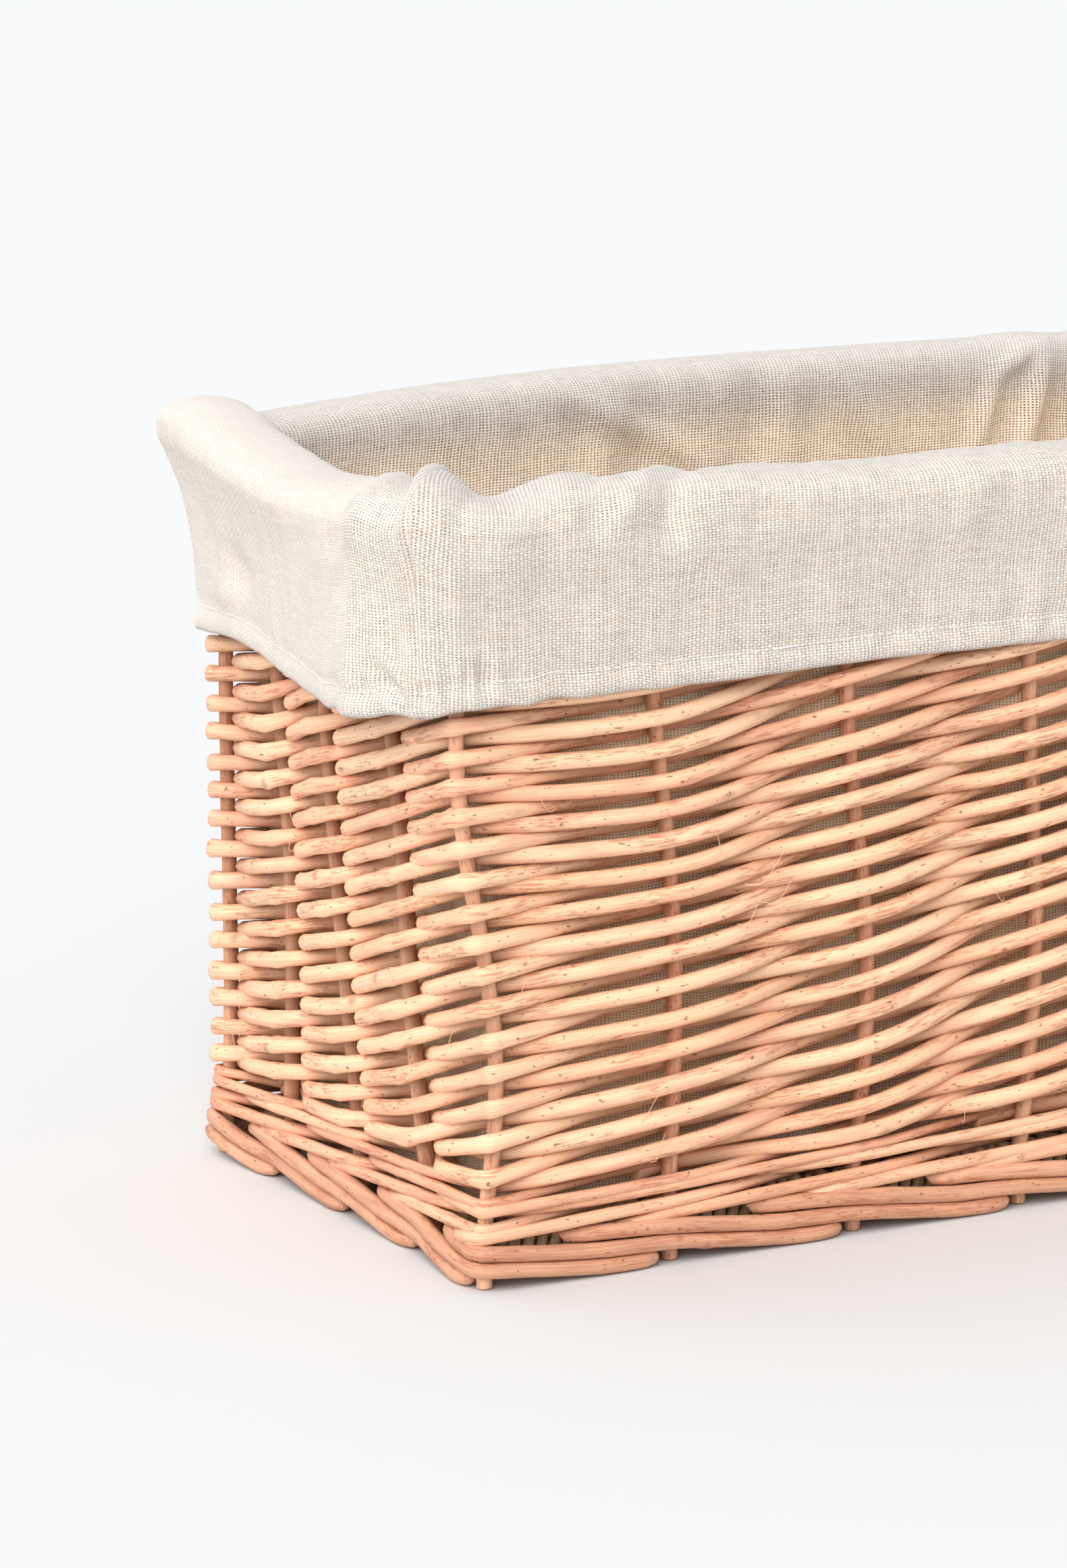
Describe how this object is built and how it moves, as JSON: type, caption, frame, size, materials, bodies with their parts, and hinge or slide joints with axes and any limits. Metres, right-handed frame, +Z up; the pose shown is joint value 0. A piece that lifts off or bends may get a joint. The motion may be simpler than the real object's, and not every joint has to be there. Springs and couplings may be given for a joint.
{
  "type": "lined wicker laundry basket",
  "caption": "Rectangular willow laundry basket with woven sides, base, foot and top borders, and a lift-out linen liner whose cuff folds over the rim",
  "frame": {"origin": "under the middle of the foot border, on the surface the basket stands on", "axes": "+Z up; +X along the long side, so that the left end faces -X; the long front side faces -Y"},
  "size_m": [0.4914, 0.2554, 0.3109],
  "materials": {
    "willow": "satin",
    "linen": "matte",
    "elastic": "matte"
  },
  "bodies": {
    "basket": {"base_sticks": "willow", "base_weavers_upper": "willow", "base_weavers_lower": "willow", "corner_stakes": "willow", "front_stakes": "willow", "back_stakes": "willow", "left_stakes": "willow", "right_stakes": "willow", "foot_border": "willow", "bottom_wale": "willow", "siding_front": "willow", "siding_right": "willow", "siding_back": "willow", "siding_left": "willow", "top_wale": "willow", "top_border": "willow"},
    "liner": {"liner_floor": "linen", "liner_front": "linen", "liner_right": "linen", "liner_back": "linen", "liner_left": "linen", "cuff_front": "linen", "cuff_right": "linen", "cuff_back": "linen", "cuff_left": "linen", "hem_elastic": "elastic"}
  },
  "joints": [
    {"name": "liner_lift", "type": "slide", "parent": "basket", "child": "liner", "axis": [0, 0, 1], "range_m": [0, 0.32]}
  ]
}
